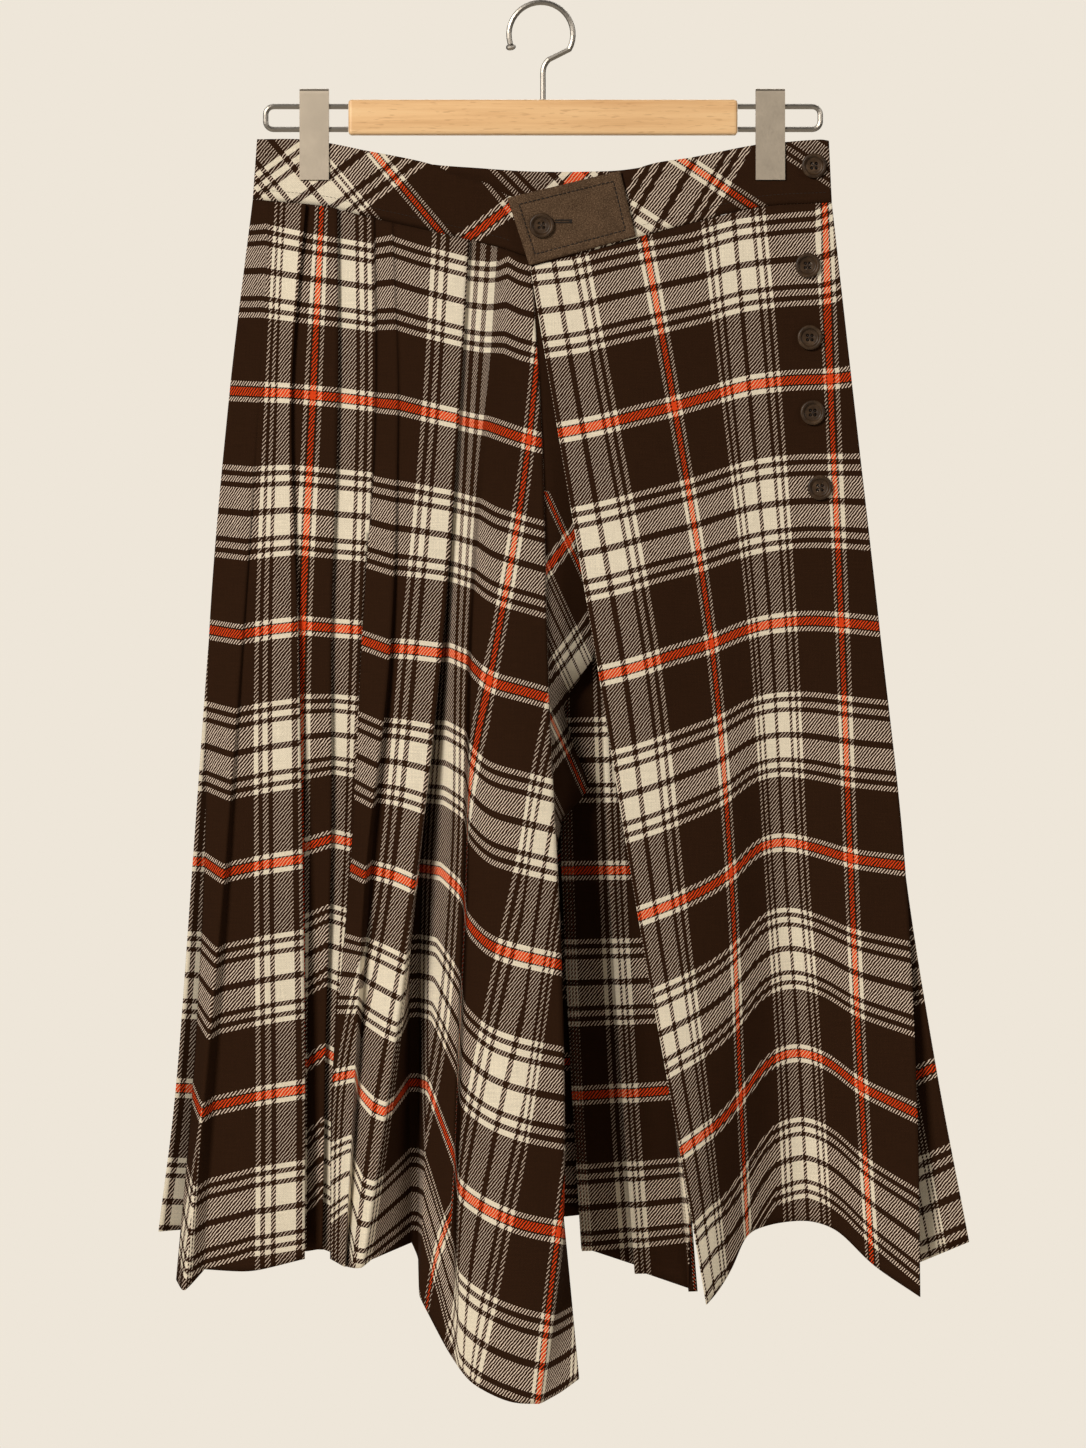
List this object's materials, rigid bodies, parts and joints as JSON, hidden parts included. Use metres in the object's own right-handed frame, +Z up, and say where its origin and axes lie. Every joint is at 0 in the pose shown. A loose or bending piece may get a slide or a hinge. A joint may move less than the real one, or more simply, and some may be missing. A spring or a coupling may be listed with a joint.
{
  "type": "kilt skirt on clip hanger",
  "caption": "Wrapped plaid kilt skirt, midi length, with pleated back and front, side buttons and a tab, hung flat by two clips from a wooden hanger.",
  "frame": {"origin": "inside top of the hanger's hook, where it hangs on its rail", "axes": "+Z up along the skirt's length, +X to the right as seen from the front, -Y towards the viewer"},
  "size_m": [0.5655, 0.1003, 0.9768],
  "materials": {
    "plaid": "brown, cream and red plaid wool twill",
    "heather": "brown heather wool",
    "button": "dark brown horn-like resin",
    "beech": "pale beech, satin lacquer",
    "steel": "plated steel wire",
    "nickel": "satin nickel plate"
  },
  "bodies": {
    "root": {"front_left": "plaid", "front_right": "plaid", "back": "plaid", "band_left": "plaid", "band_right": "plaid", "band_back": "plaid", "tab": "heather", "button_tab": "button", "button_1": "button", "button_2": "button", "button_3": "button", "button_4": "button", "button_5": "button", "hanger_bar": "beech", "hanger_hook": "steel", "hanger_wire_left": "steel", "hanger_wire_right": "steel", "clip_left": "nickel", "clip_right": "nickel"}
  },
  "joints": []
}
